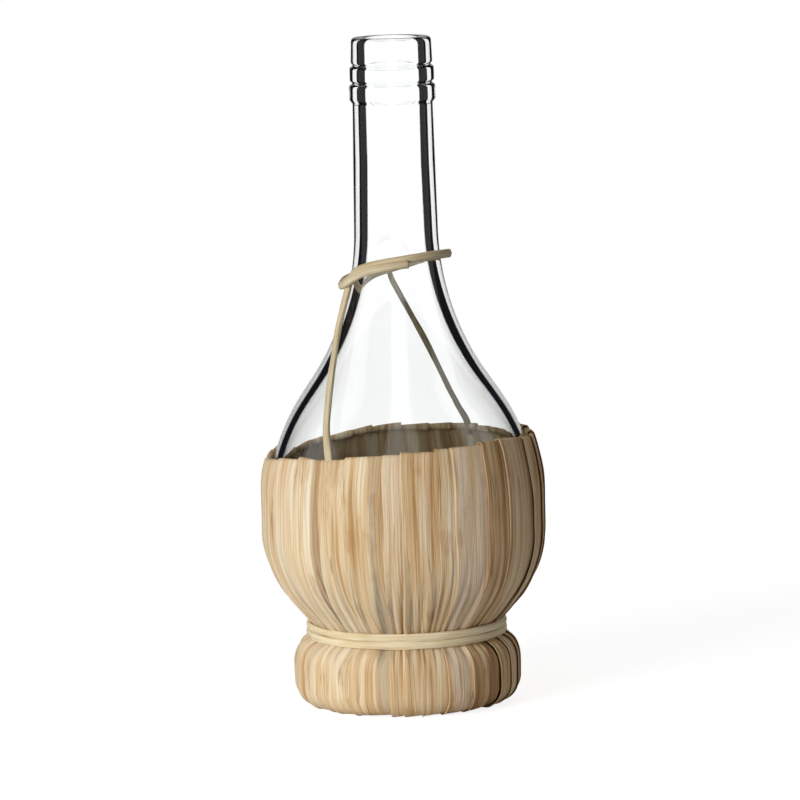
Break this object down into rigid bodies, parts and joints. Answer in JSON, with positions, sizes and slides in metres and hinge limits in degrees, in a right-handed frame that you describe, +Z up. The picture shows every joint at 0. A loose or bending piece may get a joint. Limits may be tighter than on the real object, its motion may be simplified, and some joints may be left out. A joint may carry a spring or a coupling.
{
  "type": "straw-covered wine flask",
  "caption": "Round-bottomed clear glass flask with a long neck, bound in a basket of dried husk leaves over a straw foot, with a raffia waist binding and neck cord.",
  "frame": {"origin": "on the floor under the flask, on the bottle's axis", "axes": "+Z up along the bottle's axis, -Y towards the side where the cord runs down in front"},
  "size_m": [0.0982, 0.0982, 0.2305],
  "materials": {
    "glass": "clear, polished",
    "husk": "dry, fibrous, matt",
    "straw": "dry straw",
    "raffia": "dry, fibrous"
  },
  "bodies": {
    "root": {"glass_bottle": "glass", "husk_leaf_01": "husk", "husk_leaf_02": "husk", "husk_leaf_03": "husk", "husk_leaf_04": "husk", "husk_leaf_05": "husk", "husk_leaf_06": "husk", "husk_leaf_07": "husk", "husk_leaf_08": "husk", "husk_leaf_09": "husk", "husk_leaf_10": "husk", "husk_leaf_11": "husk", "husk_leaf_12": "husk", "husk_leaf_13": "husk", "husk_leaf_14": "husk", "husk_leaf_15": "husk", "husk_leaf_16": "husk", "husk_leaf_17": "husk", "husk_leaf_18": "husk", "husk_leaf_19": "husk", "husk_leaf_20": "husk", "husk_leaf_21": "husk", "husk_leaf_22": "husk", "husk_leaf_23": "husk", "husk_leaf_24": "husk", "husk_leaf_25": "husk", "husk_leaf_26": "husk", "husk_leaf_27": "husk", "husk_leaf_28": "husk", "straw_foot_ring": "straw", "waist_binding": "raffia", "neck_cord": "raffia", "back_cord": "raffia"}
  },
  "joints": []
}
